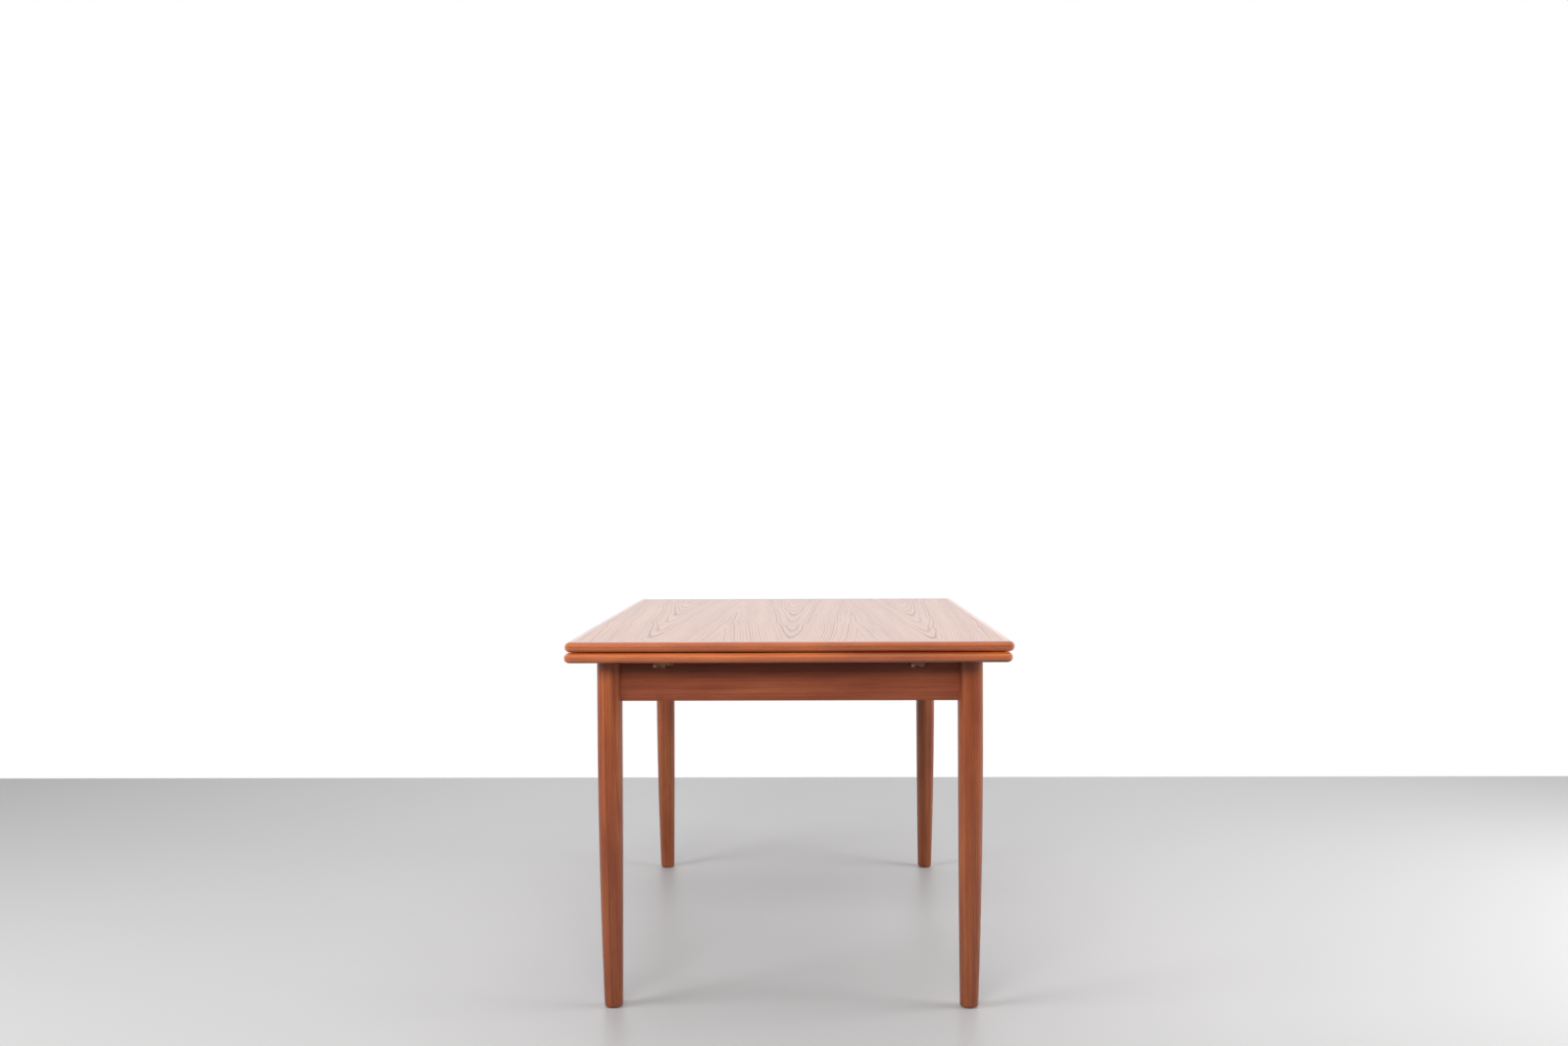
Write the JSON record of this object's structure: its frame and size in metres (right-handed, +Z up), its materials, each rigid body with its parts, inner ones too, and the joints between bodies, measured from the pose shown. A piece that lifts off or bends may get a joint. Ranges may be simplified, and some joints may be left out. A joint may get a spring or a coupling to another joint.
{
  "type": "extending dining table",
  "caption": "Rectangular teak dining table on round tapered legs, with a loose top over two draw leaves that slide out at its ends on bearers.",
  "frame": {"origin": "on the floor under the middle of the table", "axes": "+Z up, +Y along the length towards the far end, +X to the right as seen from the near end"},
  "size_m": [0.873, 1.3, 0.73],
  "materials": {
    "teak_veneer": "oiled teak veneer, satin",
    "teak_edge": "solid teak, half-round and satin",
    "teak_leg": "turned solid teak, satin",
    "teak_apron": "teak veneer, satin",
    "runner_wood": "planed hardwood, unvarnished",
    "steel": "zinc plated",
    "nylon": "matt white nylon",
    "felt": "pressed felt"
  },
  "bodies": {
    "frame": {"centre_board": "teak_veneer", "centre_board_blocks": "runner_wood", "centre_board_lipping_left": "teak_edge", "centre_board_lipping_right": "teak_edge", "centre_rail": "runner_wood", "corner_blocks": "runner_wood", "end_apron_far": "teak_apron", "end_apron_near": "teak_apron", "felt_strips": "felt", "foot_glides": "nylon", "leg_bolts": "steel", "leg_far_left": "teak_leg", "leg_far_right": "teak_leg", "leg_near_left": "teak_leg", "leg_near_right": "teak_leg", "side_apron_left": "teak_apron", "side_apron_right": "teak_apron"},
    "main_top": {"peg_keepers": "runner_wood", "top_lipping_far": "teak_edge", "top_lipping_left": "teak_edge", "top_lipping_near": "teak_edge", "top_lipping_right": "teak_edge", "top_panel": "teak_veneer", "top_pegs": "runner_wood"},
    "near_leaf": {"near_leaf_bearer_first": "runner_wood", "near_leaf_bearer_second": "runner_wood", "near_leaf_end_pins": "nylon", "near_leaf_lipping_first_side": "teak_edge", "near_leaf_lipping_inner": "teak_edge", "near_leaf_lipping_outer": "teak_edge", "near_leaf_lipping_second_side": "teak_edge", "near_leaf_panel": "teak_veneer", "near_leaf_stop_blocks": "runner_wood"},
    "far_leaf": {"far_leaf_bearer_first": "runner_wood", "far_leaf_bearer_second": "runner_wood", "far_leaf_end_pins": "nylon", "far_leaf_lipping_first_side": "teak_edge", "far_leaf_lipping_inner": "teak_edge", "far_leaf_lipping_outer": "teak_edge", "far_leaf_lipping_second_side": "teak_edge", "far_leaf_panel": "teak_veneer", "far_leaf_stop_blocks": "runner_wood"}
  },
  "joints": [
    {"name": "near_leaf_slide", "type": "slide", "parent": "frame", "child": "near_leaf", "axis": [0, -1, 0], "range_m": [0, 0.501]},
    {"name": "far_leaf_slide", "type": "slide", "parent": "frame", "child": "far_leaf", "axis": [0, 1, 0], "range_m": [0, 0.501]},
    {"name": "top_lift", "type": "slide", "parent": "frame", "child": "main_top", "axis": [0, 0, 1], "range_m": [0, 0.0252]}
  ]
}
